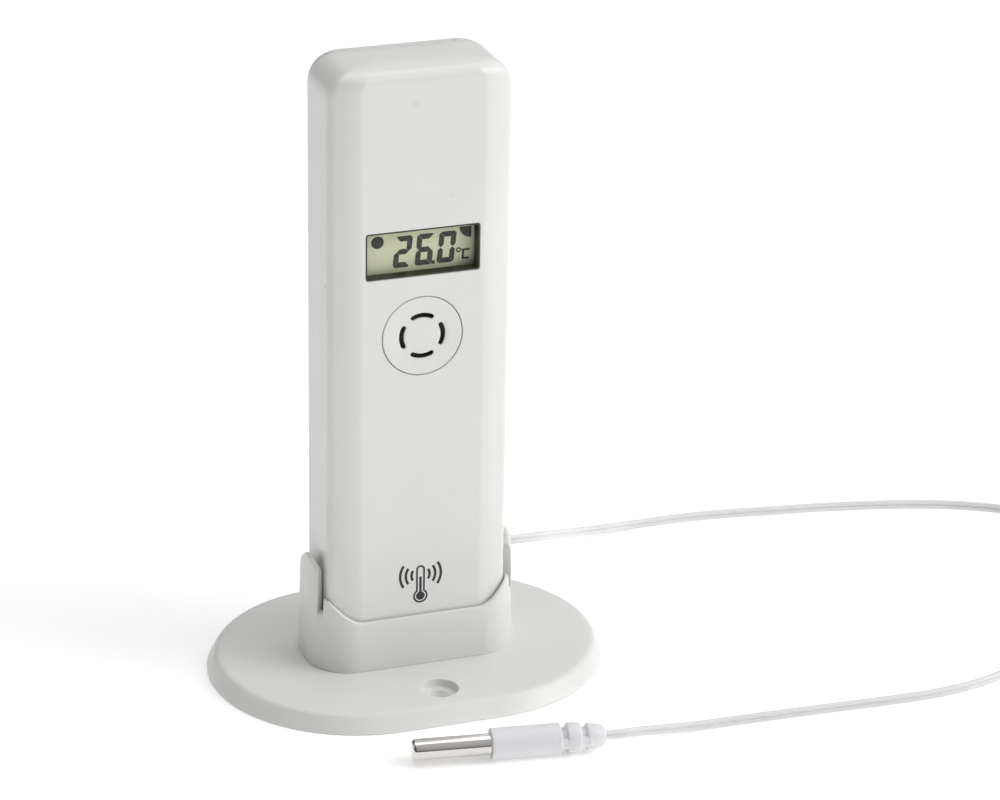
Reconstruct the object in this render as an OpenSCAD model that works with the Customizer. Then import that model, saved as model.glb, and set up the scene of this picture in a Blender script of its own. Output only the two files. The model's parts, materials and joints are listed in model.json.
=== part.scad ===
// Wireless temperature transmitter with a display, standing in a table holder, with a cable probe.
// Millimetres, +Z up. The origin is on the surface it stands on, in the middle of the base plate.
// -Y is the front, where the display is.

/* [Transmitter] */
// Width of the case
case_w = 37.6; // [36.8:0.2:38.4]
// Depth of the case, front to back
case_d = 19; // [19:0.1:19.4]
// Height of the case
case_h = 128; // [126:1:130]
// Wall of the case
wall = 1.6; // [1.4:0.1:1.7]
// Distance of the parting line behind the middle of the case
seam_y = 6.2; // [6:0.1:6.4]
// Rounding of the case's top corners, seen from the front
top_r = 6; // [5:0.5:7]

/* [Display and vent] */
// Width of the display opening
window_w = 23.5; // [22:0.5:24]
// Height of the display opening
window_h = 9.8; // [9:0.2:10.4]
// Height of the display's middle above the case's foot
window_up = 90.2; // [89:0.2:92]
// Radius of the round vent disc
vent_r = 8.4; // [8:0.1:8.8]
// Height of the vent disc's middle above the case's foot
vent_up = 72.6; // [72:0.2:74]

/* [Holder] */
// Length of the base plate
plate_w = 82.4; // [78:0.4:90]
// Depth of the base plate
plate_d = 61.8; // [59:0.2:66]
// Thickness of the base plate
plate_t = 3.9; // [3.7:0.1:4.5]
// Height of the holder's low front and rear walls above the table
wall_top = 14.8; // [14:0.2:15.4]
// Height of the holder's side ears above the table
ear_top = 27.4; // [26:0.2:28.4]
// Diameter of the two mounting holes
hole_d = 4.2; // [3.6:0.1:4.6]
// Distance between the two mounting holes
hole_pitch = 44; // [42:0.5:46]

/* [Battery bay] */
// Diameter of a cell
cell_d = 14.3; // [14:0.1:14.5]
// Length of a cell with its nub
cell_h = 50.3; // [49.5:0.1:50.5]

/* [Probe and lead] */
// Diameter of the steel tip
tip_d = 4.3; // [3.8:0.1:4.6]
// Length of the steel tip outside its boot
tip_l = 15.6; // [14:0.2:18]
// Diameter of the boot
boot_d = 6.3; // [5.8:0.1:6.8]
// Width of the flat twin lead
lead_d = 2; // [1.8:0.1:2.2]

/* [Hidden] */
$fn = 48;
eps = 0.01;
// Foot of the case, in its recess in the base plate
foot_z = 3;
case_hw = case_w / 2;
case_hd = case_d / 2;
window_z = foot_z + window_up;
vent_z = foot_z + vent_up;
// Gap between the case and the holder
fit_gap = 0.25;
// Inner face of the front wall, and the stack of the display behind it
front_in = -case_hd + wall;
glass_y = -6.6;
board_y = -3.2;
board_t = 1.2;
board_back = board_y + board_t;
// Battery bay: the cells' axes, the bay's ends and the opening under the door
cell_x = cell_d / 2 + 0.3;
cell_y = 0.6;
bay_r = 7.6;
bay_z0 = 16.6;
bay_z1 = 71;
bay_wall = 0.7;
cell_z0 = bay_z0 + 3.3;
door_w = 31.4;
door_z0 = 16.3;
door_z1 = 81.6;
door_t = 1.4;
door_gap = 0.3;
hinge_z = door_z0 + 0.7;
hinge_y = case_hd - door_t / 2;
hinge_r = 0.5;
// Small controls under the door
key_x = -7;
key_z = 77;
dial_x = 6;
shelf_y = 5.6;
shelf_t = 1.2;
// Screws
screw_xz = [[-13.2, 9.4], [13.2, 9.4], [-13, 121.5], [13, 121.5]];
board_screw_xz = [[-12.6, 78.6], [12.6, 104], [-12.6, 104]];
board_z0 = 73.4;
board_z1 = 116;
board_hw = 15.4;
// Holder's oval wall
oval_hw = 22;
oval_hd = 10.85;
oval_r = 9;
cup_screw_xy = [[-20.3, 2.2], [20.3, -2.2]];
// Lead: outlet in the parting line, on the right
outlet_z = 21.4;
outlet_r = 1.9;
outlet_x = 19.6;
// Room left round the lead by the holder
lead_room = 2.6;
// Probe lies on the table in front, its tip first
probe_at = [-13, -43.8];
probe_turn = -8.5;
boot_l = 23;
probe_l = tip_l + boot_l;
boot_end = [probe_at.x + probe_l * cos(probe_turn), probe_at.y + probe_l * sin(probe_turn), boot_d / 2];
// Coil of the lead's put-away length
coil_at = [155, -8];
coil_in = 6.8;
coil_out = 15.2;
coil_h = 9.4;
// Route of the lead from the case's outlet to the coil
case_route = [
    [outlet_x, 6.2, 21.4], [22, 6.2, 21.2], [25, 6.2, 20.6], [28, 7, 20.1], [31, 9, 19], [34, 12, 17.5],
    [37, 16, 15.4], [40, 20.5, 13.1], [43, 25, 10.8], [46, 29.5, 8.5], [49, 33.5, 6.4], [52, 37, 4.6],
    [56, 40, 3], [60, 42, 2], [65, 43.5, 1.2], [70, 44, 1], [80, 44, 1], [90, 43, 1],
    [100, 41.5, 1], [110, 40, 1], [120, 38, 1], [130, 35.5, 1], [140, 32, 1], [150, 26.5, 1],
    [159, 18, 1], [165.5, 8.5, 1], [168.5, -1, 1]
];
// Route of the lead from the coil to the probe's boot
probe_route = [
    [149, -20.5, 1], [141, -25.5, 1], [134, -31.5, 1], [127, -38, 1], [119, -43.5, 1], [110, -47.5, 1],
    [100, -49.4, 1], [89, -49.6, 1], [77, -49, 1], [64, -48.4, 1], [54, -48, 1], [46, -48.1, 1.2],
    [39, -48.5, 1.8], [33, -49, 2.5], [29, -49.7, 3], boot_end
];

// ---- outlines ----

// Flat section of the case seen from above, with its walls moved in by inset
module case_section(inset = 0) {
    corner = [[12.7, -9.5], [14.9, -9], [18, -7.8], [18.6, -7.1], [18.8, -6.2]];
    rear_r = 4.3;
    rear = [for (a = [0:15:90]) [18.8 - rear_r + rear_r * cos(a), 9.5 - rear_r + rear_r * sin(a)]];
    right = concat(corner, rear);
    left = [for (i = [len(right) - 1:-1:0]) [-right[i].x, right[i].y]];
    sx = (case_hw - inset) / 18.8;
    sy = (case_hd - inset) / 9.5;
    polygon([for (p = concat(right, left)) [p.x * sx, p.y * sy]]);
}

// Rectangle with round corners, made of exact arcs
module round_rect(w, d, r) {
    square([w - 2 * r, d], center = true);
    square([w, d - 2 * r], center = true);
    for (sx = [-1, 1], sy = [-1, 1])
        translate([sx * (w / 2 - r), sy * (d / 2 - r)]) circle(r);
}

// Front view of the case: round top corners and nearly square foot corners
module case_front(inset = 0) {
    hw = case_hw - inset;
    low = foot_z + inset;
    high = foot_z + case_h - inset;
    r = max(top_r - inset, 2);
    foot_r = 1;
    translate([-hw, low + foot_r]) square([2 * hw, high - low - foot_r - r]);
    translate([-hw + foot_r, low]) square([2 * (hw - foot_r), high - low - r]);
    translate([-hw + r, low + foot_r]) square([2 * (hw - r), high - low - foot_r]);
    for (s = [-1, 1]) {
        translate([s * (hw - r), high - r]) circle(r);
        translate([s * (hw - foot_r), low + foot_r]) circle(foot_r);
    }
}

// Side view of the case: a softly domed top, its front edge rounded more than its rear edge
module case_side(inset = 0) {
    hd = case_hd - inset;
    high = foot_z + case_h - inset;
    low = foot_z + inset;
    front_r = 2.5;
    rear_r = 1.4;
    crown = high - 0.4;
    front = [for (a = [180:-22.5:90]) [-hd + front_r + front_r * cos(a), crown - front_r + front_r * sin(a)]];
    rear = [for (a = [90:-22.5:0]) [hd - rear_r + rear_r * cos(a), crown - rear_r + rear_r * sin(a)]];
    polygon(concat([[-hd, low + 0.6], [-hd + 0.6, low]], [[hd - 0.6, low], [hd, low + 0.6]],
        [for (i = [len(rear) - 1:-1:0]) rear[i]], [[2, high], [-2, high]],
        [for (i = [len(front) - 1:-1:0]) front[i]]));
}

// Solid of the case, with its walls moved in by inset
module case_solid(inset = 0) {
    intersection() {
        linear_extrude(foot_z + case_h + 5) case_section(inset);
        translate([0, case_hd + 1, 0]) rotate([90, 0, 0]) linear_extrude(case_d + 2) case_front(inset);
        translate([-case_hw - 1, 0, 0]) rotate([90, 0, 90]) linear_extrude(case_w + 2) case_side(inset);
    }
}

// Everything in front of the parting line, or behind it with side = 1
module half_space(side) {
    y0 = side > 0 ? seam_y : seam_y - 60;
    translate([-50, y0, -10]) cube([100, 60, 180]);
}

// Cylinder along Y from y0 to y1
module rod_y(x, z, r, y0, y1) {
    translate([x, y1, z]) rotate([90, 0, 0]) cylinder(r = r, h = y1 - y0);
}

// Box given by its low and high corners
module box(low, high) {
    translate(low) cube(high - low);
}

// ---- holder ----

// Half of the base plate's profile, revolved at each end and drawn straight between them
plate_profile = [
    [0, 0], [plate_d / 2, 0], [plate_d / 2, 0.6], [plate_d / 2 - 1.35, plate_t - 0.7],
    [plate_d / 2 - 1.9, plate_t - 0.15], [plate_d / 2 - 2.6, plate_t], [0, plate_t]
];

module base_plate() {
    reach = (plate_w - plate_d) / 2;
    color("gainsboro") difference() {
        union() {
            for (s = [0, 180]) rotate([0, 0, s]) translate([reach, 0, 0])
                rotate([0, 0, -90]) rotate_extrude(angle = 180, $fn = 96) polygon(plate_profile);
            for (s = [0, 180]) rotate([0, 0, s]) translate([-reach, 0, 0])
                rotate([90, 0, 90]) linear_extrude(2 * reach) polygon(plate_profile);
        }
        // Recess that the foot of the case stands in
        translate([0, 0, foot_z]) linear_extrude(plate_t) case_section(-fit_gap);
        for (s = [-1, 1]) translate([0, s * hole_pitch / 2, 0]) {
            translate([0, 0, -1]) cylinder(d = hole_d, h = plate_t + 2);
            translate([0, 0, plate_t - 1.6]) cylinder(d = 7.8, h = 3);
        }
        for (p = cup_screw_xy) translate([p.x, p.y, -1]) {
            cylinder(r = 0.8, h = plate_t + 2);
            cylinder(r = 1.7, h = 2.2);
        }
        // Shallow hollow under the plate, with its ribs left standing
        difference() {
            translate([0, 0, -eps]) linear_extrude(1.2) round_rect(plate_w - 9, plate_d - 9, 25);
            for (s = [-1, 1]) translate([0, s * hole_pitch / 2, -1]) cylinder(r = 5.2, h = 4);
            for (p = cup_screw_xy) translate([p.x, p.y, -1]) cylinder(r = 3, h = 4);
            for (x = [-24:12:24]) translate([x - 0.6, -40, -1]) cube([1.2, 80, 4]);
            translate([-50, -0.6, -1]) cube([100, 1.2, 4]);
        }
    }
}

// Side view of the space round the ears, which are tongues with a round top
module ear_slope() {
    crest_y = -2;
    front_y = -6.4;
    rear_y = 5.5;
    low = 19.2;
    crest = [for (a = [0:10:180])
        [crest_y + cos(a) * (a < 90 ? rear_y - crest_y : crest_y - front_y), low + (ear_top - low) * sin(a)]];
    polygon(concat([[20, low]], crest, [[-20, low], [-20, ear_top + 5], [20, ear_top + 5]]));
}

// Front view of the space above a low wall, which climbs towards its ends
module low_wall_cut(half, climb) {
    side = [for (t = [0:0.1:1]) [half + (18.9 - half) * t, wall_top + climb * (1 - cos(90 * t))]];
    left = [for (i = [len(side) - 1:-1:0]) [-side[i].x, side[i].y]];
    polygon(concat(left, side, [[18.9, ear_top + 5], [-18.9, ear_top + 5]]));
}

module holder_cup() {
    color("gainsboro") difference() {
        translate([0, 0, plate_t]) linear_extrude(ear_top - plate_t)
            round_rect(2 * oval_hw, 2 * oval_hd, oval_r);
        translate([0, 0, plate_t - 1]) linear_extrude(ear_top) case_section(-fit_gap);
        translate([-30, 0, 0]) rotate([90, 0, 90]) linear_extrude(60) ear_slope();
        // Low front wall between two climbing corners
        translate([0, -3, 0]) rotate([90, 0, 0]) linear_extrude(20) low_wall_cut(12, 4.6);
        // Low rear wall, wider, so that the battery door clears it
        translate([0, 20, 0]) rotate([90, 0, 0]) linear_extrude(17)
            polygon([[-16.6, wall_top], [16.6, wall_top], [18.4, ear_top - 2], [18.4, 40],
                [-18.4, 40], [-18.4, ear_top - 2]]);
        // Ears lean away from the case towards their tops
        for (s = [0, 1]) mirror([s, 0, 0]) translate([case_hw + fit_gap, 15, 18]) rotate([90, 0, 0])
            linear_extrude(30) polygon([[-1, 0], [0, 0], [1.1, ear_top - 18 + eps], [-1, ear_top - 18 + eps]]);
        // Slits that free the ears from the front wall
        for (s = [0, 1]) mirror([s, 0, 0]) translate([oval_hw - oval_r, oval_r - oval_hd, 16.4])
            rotate([0, 0, -33.5]) translate([4, -0.85, 0]) cube([8, 1.7, 12]);
        // Right ear cut away at the rear, so that the lead comes out over it
        box([oval_hw - 5.4, seam_y - lead_room, outlet_z - lead_room], [40, 20, 60]);
        for (p = cup_screw_xy) translate([p.x, p.y, 0]) cylinder(r = 0.8, h = plate_t + 5);
    }
}

module cup_screws() {
    color("silver") for (p = cup_screw_xy) translate([p.x, p.y, 0]) {
        translate([0, 0, 1]) cylinder(r = 0.72, h = plate_t + 3.4);
        difference() {
            translate([0, 0, 0.2]) cylinder(r = 1.5, h = 0.9);
            translate([0, 0, 0.2]) cube([0.5, 2, 0.8], center = true);
        }
    }
}

// ---- case ----

module front_cover() {
    color("whitesmoke") difference() {
        union() {
            difference() {
                intersection() { case_solid(); half_space(-1); }
                case_solid(wall);
            }
            intersection() {
                union() {
                    for (p = screw_xz) rod_y(p.x, p.y, 2.9, front_in - 0.5, seam_y);
                    for (p = board_screw_xz) rod_y(p.x, p.y, 2, front_in - 0.5, board_y);
                }
                case_solid(0.4);
            }
        }
        box([-window_w / 2, -30, window_z - window_h / 2], [window_w / 2, 0, window_z + window_h / 2]);
        rod_y(0, vent_z, vent_r, -30, -case_hd + 1);
        rod_y(0, vent_z, vent_r - 1.4, -30, 0);
        for (p = screw_xz) rod_y(p.x, p.y, 0.9, -4, 20);
        for (p = board_screw_xz) rod_y(p.x, p.y, 0.7, -6.5, 20);
        translate([10, seam_y, outlet_z]) rotate([0, 90, 0]) cylinder(r = outlet_r, h = 20);
    }
}

// Ring in the parting line, seen from the front
module seam_ring(from, to) {
    difference() { case_front(from); case_front(to); }
}

module rear_cover() {
    inner_w = door_w + 2 * door_gap;
    color("whitesmoke") difference() {
        union() {
            difference() {
                intersection() { case_solid(); half_space(1); }
                intersection() { case_solid(wall + 0.3); translate([0, -wall - 0.1, 0]) half_space(1); }
            }
            for (p = screw_xz) rod_y(p.x, p.y, 2.9, seam_y, case_hd - 0.6);
            // Bay for the cells
            for (s = [-1, 1]) translate([s * cell_x, cell_y, bay_z0 - bay_wall])
                cylinder(r = bay_r + bay_wall, h = bay_z1 - bay_z0 + 2 * bay_wall);
            box([-15.9, cell_y, bay_z0 - bay_wall], [15.9, case_hd - wall + 0.1, bay_z1 + bay_wall]);
            // Shelf that carries the small controls
            box([-15.9, shelf_y, bay_z1], [15.9, shelf_y + shelf_t, 84]);
            box([-15.9, shelf_y, 82.8], [15.9, case_hd - wall + 0.1, 84]);
            // Rim around the door's opening
            box([-17, shelf_y + 1, door_z0 - 2], [17, case_hd - wall + 0.1, door_z0 - 0.6]);
        }
        for (s = [-1, 1]) translate([s * cell_x, cell_y, bay_z0])
            cylinder(r = bay_r, h = bay_z1 - bay_z0);
        box([-15.1, cell_y, bay_z0], [15.1, 20, bay_z1]);
        box([-15.1, shelf_y + shelf_t, bay_z0], [15.1, 20, 80.8]);
        box([-inner_w / 2, case_hd - door_t - 0.5, door_z0 - 0.6], [inner_w / 2, 20, door_z1 + door_gap]);
        // Sockets for the door's hinge stubs
        translate([-17, hinge_y, hinge_z]) rotate([0, 90, 0]) cylinder(r = hinge_r + 0.15, h = 34);
        // Finger notch above the door
        translate([0, case_hd + 4.6, door_z1 + 1]) rotate([0, 90, 0]) cylinder(r = 6, h = 10, center = true);
        for (p = screw_xz) {
            rod_y(p.x, p.y, 1.2, 0, 20);
            rod_y(p.x, p.y, 2.3, case_hd - 1.6, 20);
        }
        rod_y(key_x, key_z, 1.6, 0, 20);
        box([dial_x - 3.2, 0, key_z - 1.1], [dial_x + 3.2, 20, key_z + 1.1]);
        translate([10, seam_y, outlet_z]) rotate([0, 90, 0]) cylinder(r = outlet_r, h = 20);
        // Groove for the gasket
        translate([0, seam_y + 0.8, 0]) rotate([90, 0, 0]) linear_extrude(3) seam_ring(0.75, 1.35);
    }
}

module seam_gasket() {
    color("dimgray") difference() {
        intersection() {
            translate([0, seam_y + 0.75, 0]) rotate([90, 0, 0]) linear_extrude(0.75) seam_ring(0.8, 1.3);
            case_solid(0.6);
        }
        translate([10, seam_y, outlet_z]) rotate([0, 90, 0]) cylinder(r = outlet_r, h = 20);
    }
}

module housing_screws() {
    color("silver") for (p = screw_xz) {
        rod_y(p.x, p.y, 0.85, -3, case_hd - 1.6);
        difference() {
            rod_y(p.x, p.y, 2, case_hd - 1.55, case_hd - 0.35);
            box([p.x - 1.5, case_hd - 0.9, p.y - 0.25], [p.x + 1.5, 20, p.y + 0.25]);
            box([p.x - 0.25, case_hd - 0.9, p.y - 1.5], [p.x + 0.25, 20, p.y + 1.5]);
        }
    }
}

// ---- display ----

module display_frame() {
    w = window_w - 0.1;
    h = window_h - 0.1;
    color("darkolivegreen") difference() {
        union() {
            box([-w / 2, -case_hd + 0.25, window_z - h / 2], [w / 2, glass_y, window_z + h / 2]);
            box([-13.4, -7.4, window_z - 6.6], [13.4, board_y - 0.02, window_z + 6.6]);
        }
        box([-w / 2 + 0.4, -30, window_z - h / 2 + 0.4], [w / 2 - 0.4, 0, window_z + h / 2 - 0.4]);
        box([-12.3, -7.38, window_z - 5.1], [12.3, 0, window_z + 5.1]);
        box([-12.8, glass_y, window_z - 6], [12.8, 0, window_z + 6]);
    }
}

module display_window() {
    color("lightcyan") box([-12.2, -7.35, window_z - 5], [12.2, -6.75, window_z + 5]);
}

module display_glass() {
    color("darkkhaki") difference() {
        box([-12.6, glass_y + 0.05, window_z - 5.8], [12.6, -4.8, window_z + 5.8]);
        box([-14, glass_y - 1, window_z - 7], [14, -5.7, window_z - 5]);
    }
}

module display_connector() {
    color("hotpink") box([-11.5, -4.75, window_z - 5.7], [11.5, board_y - 0.05, window_z - 3.9]);
}

// ---- vent ----

module vent_disc() {
    slot_span = 66;
    color("whitesmoke") difference() {
        union() {
            rod_y(0, vent_z, vent_r - 0.15, -case_hd + 0.05, -case_hd + 0.98);
            rod_y(0, vent_z, vent_r - 1.6, -case_hd + 0.9, -case_hd + 1.9);
        }
        for (i = [0:3]) translate([0, -case_hd + 4, vent_z]) rotate([90, 0, 0])
            rotate([0, 0, i * 90 - slot_span / 2])
                rotate_extrude(angle = slot_span) translate([3.8, -1]) square([1, 8]);
    }
}

module vent_membrane() {
    color("white") rod_y(0, vent_z, 6, -case_hd + 1.92, -case_hd + 2.1);
}

module climate_sensor() {
    color("black") difference() {
        box([-1.5, board_y - 1, vent_z + 0.6], [1.5, board_y, vent_z + 3.6]);
        rod_y(0, vent_z + 2.1, 0.6, board_y - 2, board_y - 0.6);
    }
}

// ---- electronics ----

module circuit_board() {
    color("darkgreen") difference() {
        box([-board_hw, board_y, board_z0], [board_hw, board_back, board_z1]);
        for (p = board_screw_xz) rod_y(p.x, p.y, 1.1, -10, 10);
        box([board_hw - 3, -10, board_z0 - 1], [board_hw + 1, 10, board_z0 + 4]);
    }
}

module board_screws() {
    color("silver") for (p = board_screw_xz) {
        rod_y(p.x, p.y, 0.65, -6.3, board_back);
        difference() {
            rod_y(p.x, p.y, 1.7, board_back, board_back + 1);
            box([p.x - 1.2, board_back + 0.5, p.y - 0.2], [p.x + 1.2, 20, p.y + 0.2]);
            box([p.x - 0.2, board_back + 0.5, p.y - 1.2], [p.x + 0.2, 20, p.y + 1.2]);
        }
    }
}

module controller_chip() {
    color("black") difference() {
        box([-5, board_back, 92], [5, board_back + 1.2, 102]);
        rod_y(-3.6, 100.6, 0.5, board_back + 0.9, 10);
    }
}

module radio_module() {
    color("seagreen") box([-11, board_back, 105.5], [5, board_back + 1, 114.5]);
    color("silver") box([-9.5, board_back + 1, 106.5], [-1.5, board_back + 2.6, 113.5]);
}

// Helical aerial on its straight foot
module antenna() {
    color("goldenrod") {
        translate([9.5, board_back + 1.3, 106]) cylinder(r = 0.4, h = 5);
        for (i = [0:7]) translate([9.5, board_back + 3.2, 111.4 + i * 0.8])
            rotate_extrude() translate([1.9, 0]) circle(0.45, $fn = 16);
    }
}

module crystal_can() {
    color("silver") translate([8, board_back + 1.6, 92]) cylinder(r = 1.5, h = 6);
}

module key_switch() {
    color("dimgray") {
        box([key_x - 3, board_back, key_z - 3], [key_x + 3, board_back + 2.6, key_z + 3]);
        rod_y(key_x, key_z, 1.2, board_back + 2.5, board_back + 3.3);
    }
}

module slide_switch() {
    color("silver") difference() {
        box([dial_x - 4.2, board_back, key_z - 2], [dial_x + 4.2, board_back + 3.4, key_z + 2]);
        box([dial_x - 2.6, board_back + 2, key_z - 1], [dial_x + 2.6, 20, key_z + 1]);
    }
}

module lead_plug() {
    color("ivory") difference() {
        box([10.6, board_back, 84.4], [15.4, board_back + 4.6, 89.4]);
        box([15, board_back + 1, 85.5], [16, board_back + 3.6, 88.3]);
    }
}

module inner_lead() {
    color("lightgray") {
        box([16.05, 3.6, 20.4], [16.95, 5.4, 87.9]);
        box([15.45, -0.4, 85.9], [16.95, 1.4, 87.9]);
        box([16.05, 1.3, 85.9], [16.95, 3.7, 87.9]);
    }
}

// ---- battery bay ----

// One cell, its nub up
module cell() {
    color("slategray") difference() {
        cylinder(d = cell_d, h = cell_h - 1.2);
        translate([0, 0, cell_h - 1.5]) difference() {
            cylinder(r = 5.6, h = 1);
            cylinder(r = 4.2, h = 1);
        }
    }
    color("silver") translate([0, 0, cell_h - 1.3]) cylinder(r = 2.7, h = 1.3);
}

module cell_left() {
    translate([-cell_x, cell_y, cell_z0]) cell();
}

module cell_right() {
    translate([cell_x, cell_y, bay_z1 - 3.3]) rotate([180, 0, 0]) cell();
}

// Spring with its wide turns on the wall
module contact_spring() {
    color("silver") for (i = [0:3]) translate([0, 0, 0.44 + i * 0.68])
        rotate_extrude() translate([4.6 - i * 0.6, 0]) circle(0.42, $fn = 16);
}

module contact_springs() {
    translate([-cell_x, cell_y, bay_z0 + 0.38]) contact_spring();
    translate([cell_x, cell_y, bay_z1 - 0.38]) rotate([180, 0, 0]) contact_spring();
}

module contact_plates() {
    color("silver") {
        for (s = [-1, 1]) {
            box([s * cell_x - 5.4, cell_y - 5, bay_z0 + 0.02], [s * cell_x + 5.4, cell_y + 5, bay_z0 + 0.35]);
            box([s * cell_x - 5.4, cell_y - 5, bay_z1 - 0.35], [s * cell_x + 5.4, cell_y + 5, bay_z1 - 0.02]);
        }
    }
}

module battery_door() {
    low_y = case_hd - door_t;
    color("whitesmoke") {
        difference() {
            union() {
                box([-door_w / 2, low_y, door_z0], [door_w / 2, case_hd, door_z1]);
                // Stiffening rib inside
                box([-0.4, low_y - 1, 30], [0.4, low_y + 0.1, 64]);
                for (s = [-1, 1]) translate([s > 0 ? door_w / 2 - 0.5 : -door_w / 2 - 0.9, hinge_y, hinge_z])
                    rotate([0, 90, 0]) cylinder(r = hinge_r, h = 1.4);
            }
            // Grip grooves across the outside, near the top
            for (i = [0:5]) box([-8, case_hd - 0.4, 70 + i * 1.6], [8, case_hd + 1, 70.7 + i * 1.6]);
        }
    }
}

module door_seal() {
    y = case_hd - door_t;
    color("dimgray") difference() {
        box([-15.65, y - 0.48, 19], [15.65, y - 0.02, door_z1 - 0.1]);
        box([-15.2, y - 1, 18], [15.2, y + 1, door_z1 - 0.6]);
    }
}

module send_key() {
    color("lightgray") {
        rod_y(key_x, key_z, 1.4, 3, 7.4);
        rod_y(key_x, key_z, 2.3, shelf_y - 1.5, shelf_y - 0.8);
        rod_y(key_x, key_z, 1, board_back + 4, 3.1);
    }
}

module unit_slider() {
    color("black") {
        box([dial_x - 1.9, board_back + 2.2, key_z - 0.85], [dial_x - 0.5, 7.5, key_z + 0.85]);
    }
}

// ---- lead and probe ----

module lead_grommet() {
    color("silver") difference() {
        translate([17, seam_y, outlet_z]) rotate([0, 90, 0]) {
            cylinder(r = outlet_r - 0.05, h = outlet_x - 17 - 0.04);
            translate([0, 0, case_hw - 17 + 0.05]) cylinder(r = 2.2, h = outlet_x - case_hw - 0.09);
        }
        box([16, seam_y - 0.6, outlet_z - 1.1], [outlet_x - 1, seam_y + 0.6, outlet_z + 1.1]);
    }
}

// Points between the route's own, on a smooth curve through them
function spline_at(p, i, t) =
    let (n = len(p) - 1, a = p[max(i - 1, 0)], b = p[i], c = p[min(i + 1, n)], d = p[min(i + 2, n)])
    0.5 * (2 * b + (c - a) * t + (2 * a - 5 * b + 4 * c - d) * t * t + (3 * b - a - 3 * c + d) * t * t * t);
function smooth_route(p, steps) =
    concat([for (i = [0:len(p) - 2], k = [0:steps - 1]) spline_at(p, i, k / steps)], [p[len(p) - 1]]);
function unit(v) = v / norm(v);

// Round tube through the points
module swept_tube(points, r, sides = 8) {
    last = len(points) - 1;
    rings = [for (i = [0:last])
        let (along = unit(points[min(i + 1, last)] - points[max(i - 1, 0)]),
            side = unit(cross(along, [0, 0, 1])), up = cross(side, along))
        for (k = [0:sides - 1])
            points[i] + r * (cos(360 * (k + 0.5) / sides) * side + sin(360 * (k + 0.5) / sides) * up)];
    quads = [for (i = [0:last - 1], k = [0:sides - 1])
        [i * sides + k, i * sides + (k + 1) % sides, (i + 1) * sides + (k + 1) % sides, (i + 1) * sides + k]];
    start = [for (k = [sides - 1:-1:0]) k];
    end = [for (k = [0:sides - 1]) last * sides + k];
    polyhedron(rings, concat([start], quads, [end]));
}

module lead_to_case() {
    color("lightgray") swept_tube(smooth_route(case_route, 2), lead_d / 2);
}

module lead_to_probe() {
    color("lightgray") swept_tube(smooth_route(probe_route, 2), lead_d / 2);
}

module lead_coil() {
    color("lightgray") translate([coil_at.x, coil_at.y, 0]) rotate_extrude($fn = 64)
        polygon([[coil_in, 1], [coil_in + 1, 0], [coil_out - 1, 0], [coil_out, 1],
            [coil_out, coil_h - 1], [coil_out - 1, coil_h], [coil_in + 1, coil_h], [coil_in, coil_h - 1]]);
}

module lead_tie() {
    mid = (coil_in + coil_out) / 2;
    color("black") translate([coil_at.x, coil_at.y, 0]) difference() {
        box([-1.4, mid - 5, 0], [1.4, mid + 5, coil_h + 0.8]);
        rotate_extrude($fn = 64) translate([coil_in - 0.05, -1]) square([coil_out - coil_in + 0.1, coil_h + 1.05]);
    }
}

// Puts a shape drawn along +Z onto the probe's axis
module on_probe() {
    translate([probe_at.x, probe_at.y, boot_d / 2]) rotate([0, 0, probe_turn]) rotate([0, 90, 0]) children();
}

module probe_boot() {
    r = boot_d / 2;
    core = 1.7;
    end_r = 1.9;
    color("lavender") on_probe() difference() {
        rotate_extrude() polygon([
            [0, tip_l], [r - 0.25, tip_l], [r, tip_l + 0.3], [r, tip_l + 14], [core, tip_l + 14],
            [core, tip_l + 15.2], [r - 0.1, tip_l + 15.2], [r - 0.2, tip_l + 18], [core, tip_l + 18],
            [core, tip_l + 19.2], [r - 0.4, tip_l + 19.2], [end_r, probe_l], [0, probe_l]]);
        translate([0, 0, tip_l - 1]) cylinder(d = tip_d, h = 9);
    }
}

module probe_tip() {
    r = tip_d / 2;
    color("silver") on_probe() difference() {
        rotate_extrude() polygon(concat([[0, 0]], [for (a = [0:22.5:90])
            [r - 0.7 + 0.7 * sin(a), 0.7 - 0.7 * cos(a)]], [[r, tip_l + 7.9], [0, tip_l + 7.9]]));
        translate([0, 0, 0.4]) cylinder(r = r - 0.3, h = tip_l + 9);
    }
}

module probe_thermistor() {
    color("black") on_probe() {
        translate([0, 0, 0.5]) cylinder(r = 1.1, h = 3);
        for (s = [-1, 1]) translate([s * 0.5, 0, 3.4]) cylinder(r = 0.25, h = tip_l + 4);
    }
}

base_plate();
holder_cup();
cup_screws();
front_cover();
rear_cover();
seam_gasket();
housing_screws();
display_frame();
display_window();
display_glass();
display_connector();
vent_disc();
vent_membrane();
climate_sensor();
circuit_board();
board_screws();
controller_chip();
radio_module();
antenna();
crystal_can();
key_switch();
slide_switch();
lead_plug();
inner_lead();
cell_left();
cell_right();
contact_springs();
contact_plates();
battery_door();
door_seal();
send_key();
unit_slider();
lead_grommet();
lead_to_case();
lead_coil();
lead_tie();
lead_to_probe();
probe_boot();
probe_tip();
probe_thermistor();
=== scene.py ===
"""Wireless temperature transmitter in its table holder, with its cable probe, around the CAD frame."""

import json
import math

import bmesh
import bpy
from mathutils import Matrix, Vector

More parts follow.
